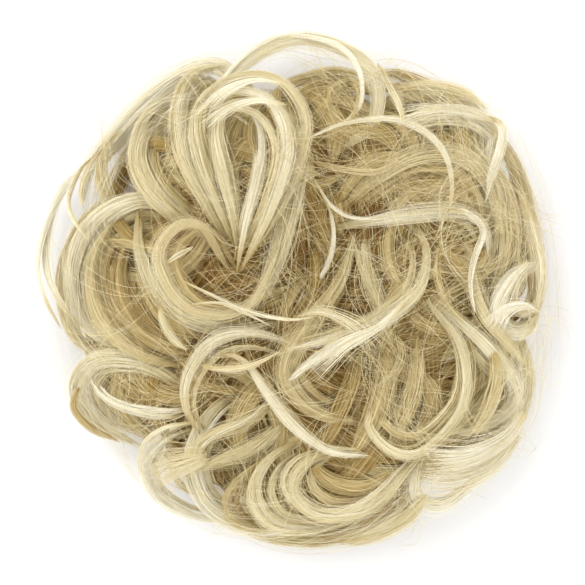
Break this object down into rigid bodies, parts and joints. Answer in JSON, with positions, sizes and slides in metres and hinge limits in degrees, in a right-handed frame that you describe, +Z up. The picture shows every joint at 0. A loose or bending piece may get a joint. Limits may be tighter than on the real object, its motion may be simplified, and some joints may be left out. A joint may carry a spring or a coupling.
{
  "type": "scrunchie hairpiece",
  "caption": "Messy-bun scrunchie hairpiece: loose curled locks of blond hair sewn round an elastic ring, open below for a bun or ponytail.",
  "frame": {"origin": "centre of the outline seen from above, on the surface the hairpiece lies on", "axes": "+Z up through the crown of the curls, +Y towards the big arching loop at the top of the picture, +X to the picture's right"},
  "size_m": [0.1426, 0.1464, 0.0475],
  "materials": {
    "elastic_cover": "matt, covered cord",
    "weft": "stitched hair weft",
    "under_hair": "satin hair, in shade",
    "golden_hair": "satin hair",
    "blond_hair": "satin hair",
    "pale_hair": "satin hair"
  },
  "bodies": {
    "root": {"elastic_band": "elastic_cover", "weft_ring": "weft", "hair_bed": "under_hair", "rim_curl_01": "pale_hair", "rim_curl_02": "blond_hair", "rim_curl_03": "blond_hair", "rim_curl_04": "blond_hair", "rim_curl_05": "pale_hair", "rim_curl_06": "blond_hair", "rim_curl_07": "pale_hair", "rim_curl_08": "blond_hair", "rim_curl_09": "blond_hair", "rim_curl_10": "pale_hair", "rim_curl_11": "pale_hair", "rim_curl_12": "blond_hair", "rim_curl_13": "pale_hair", "rim_curl_14": "blond_hair", "rim_curl_15": "blond_hair", "rim_curl_16": "pale_hair", "rim_curl_17": "blond_hair", "side_curl_01": "pale_hair", "side_curl_02": "blond_hair", "side_curl_03": "golden_hair", "side_curl_04": "blond_hair", "side_curl_05": "blond_hair", "side_curl_06": "blond_hair", "side_curl_07": "blond_hair", "side_curl_08": "blond_hair", "side_curl_09": "pale_hair", "side_curl_10": "blond_hair", "side_curl_11": "blond_hair", "side_curl_12": "blond_hair", "side_curl_13": "pale_hair", "side_curl_14": "golden_hair", "side_curl_15": "pale_hair", "side_curl_16": "blond_hair", "side_curl_17": "golden_hair", "side_curl_18": "blond_hair", "side_curl_19": "blond_hair", "side_curl_20": "blond_hair", "side_curl_21": "pale_hair", "crown_curl_01": "pale_hair", "crown_curl_02": "pale_hair", "crown_curl_03": "blond_hair", "crown_curl_04": "blond_hair", "crown_curl_05": "pale_hair", "crown_curl_06": "pale_hair", "crown_curl_07": "blond_hair", "crown_curl_08": "pale_hair", "crown_curl_09": "pale_hair", "crown_curl_10": "pale_hair", "crown_curl_11": "pale_hair", "crown_curl_12": "pale_hair", "crown_curl_13": "pale_hair"}
  },
  "joints": []
}
